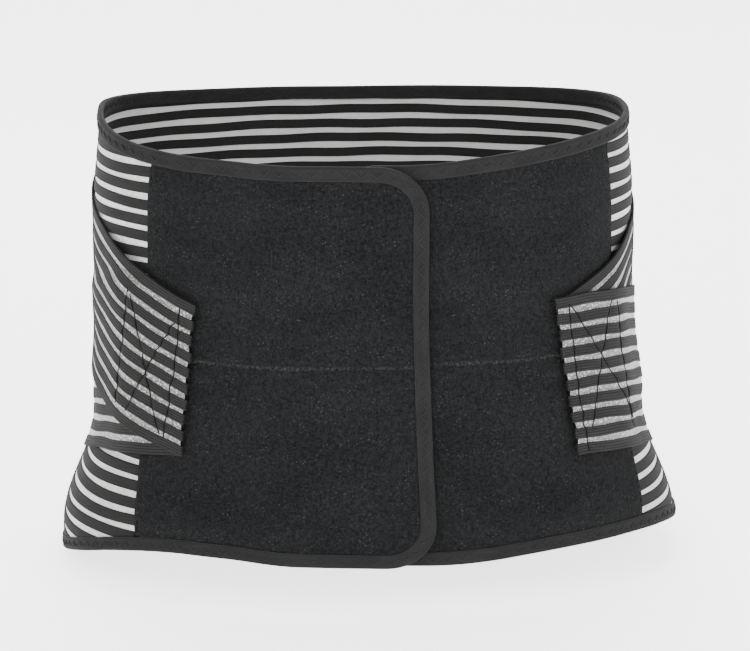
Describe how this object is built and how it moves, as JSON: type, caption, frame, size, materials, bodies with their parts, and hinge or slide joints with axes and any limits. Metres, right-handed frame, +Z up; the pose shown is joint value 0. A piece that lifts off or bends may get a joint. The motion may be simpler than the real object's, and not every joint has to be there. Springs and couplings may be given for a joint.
{
  "type": "lumbar support belt",
  "caption": "Elastic lumbar support belt closed round a waist, with padded loop-faced front panels, crossed side straps and sprung stays up the back.",
  "frame": {"origin": "on the wearer's torso axis at the height of the waist", "axes": "+Z up along the torso, front of the belt faces -Y, +X to the right of someone who looks at the front"},
  "size_m": [0.3364, 0.2229, 0.2426],
  "materials": {
    "ladder_elastic": "dark ladder elastic, dense ribs with a pale see-through monofilament web between them",
    "strap_elastic": "dark ladder elastic with a silvery web between its ribs",
    "loop_velour": "black brushed loop velour, matt",
    "foam": "dark polyurethane foam",
    "lining_knit": "dark warp-knit lining",
    "binding_tape": "charcoal folded binding tape with a zigzag stitch",
    "hook_tape": "dark nylon hook tape",
    "pocket_cloth": "black plain-weave tape",
    "stay_steel": "flat spring steel",
    "end_cap": "white dipped plastic"
  },
  "bodies": {
    "back": {"back_elastic": "ladder_elastic", "back_top_binding": "binding_tape", "back_bottom_binding": "binding_tape", "stay_pocket_1": "pocket_cloth", "stay_pocket_2": "pocket_cloth", "stay_pocket_3": "pocket_cloth", "stay_pocket_4": "pocket_cloth", "stay_1": "stay_steel", "stay_2": "stay_steel", "stay_3": "stay_steel", "stay_4": "stay_steel", "stay_end_caps": "end_cap", "left_anchor_patch": "binding_tape", "right_anchor_patch": "binding_tape", "left_upper_strap_back": "strap_elastic", "left_lower_strap_back": "strap_elastic", "right_upper_strap_back": "strap_elastic", "right_lower_strap_back": "strap_elastic"},
    "left_front": {"left_side_elastic": "ladder_elastic", "outer_panel_face": "loop_velour", "outer_panel_core": "foam", "outer_panel_lining": "lining_knit", "outer_panel_binding": "binding_tape", "closure_hook": "hook_tape", "left_upper_strap_side": "strap_elastic", "left_lower_strap_side": "strap_elastic"},
    "right_front": {"right_side_elastic": "ladder_elastic", "inner_panel_face": "loop_velour", "inner_panel_core": "foam", "inner_panel_lining": "lining_knit", "inner_panel_binding": "binding_tape", "right_upper_strap_side": "strap_elastic", "right_lower_strap_side": "strap_elastic"},
    "left_strap": {"left_upper_strap_front": "strap_elastic", "left_lower_strap_front": "strap_elastic", "left_strap_hook": "hook_tape"},
    "right_strap": {"right_upper_strap_front": "strap_elastic", "right_lower_strap_front": "strap_elastic", "right_strap_hook": "hook_tape"}
  },
  "joints": [
    {"name": "left_front_open", "type": "hinge", "parent": "back", "child": "left_front", "pos_m": [-0.15401, 0, 0], "axis": [-0.1113, 0, -0.9938], "range_deg": [0, 90]},
    {"name": "right_front_open", "type": "hinge", "parent": "back", "child": "right_front", "pos_m": [0.15783, 0, 0], "axis": [-0.1416, 0, 0.9899], "range_deg": [0, 58.5]},
    {"name": "left_strap_peel", "type": "hinge", "parent": "left_front", "child": "left_strap", "pos_m": [-0.1447, -0.03496, 0], "axis": [-0.0381, -0.012, -0.9992], "range_deg": [0, 90]},
    {"name": "right_strap_peel", "type": "hinge", "parent": "right_front", "child": "right_strap", "pos_m": [0.14834, -0.03554, 0], "axis": [-0.0921, 0.0289, 0.9953], "range_deg": [0, 90]}
  ],
  "couplings": [
    {"joint": "right_front_open", "follows": "left_front_open", "ratio": 0.65}
  ]
}
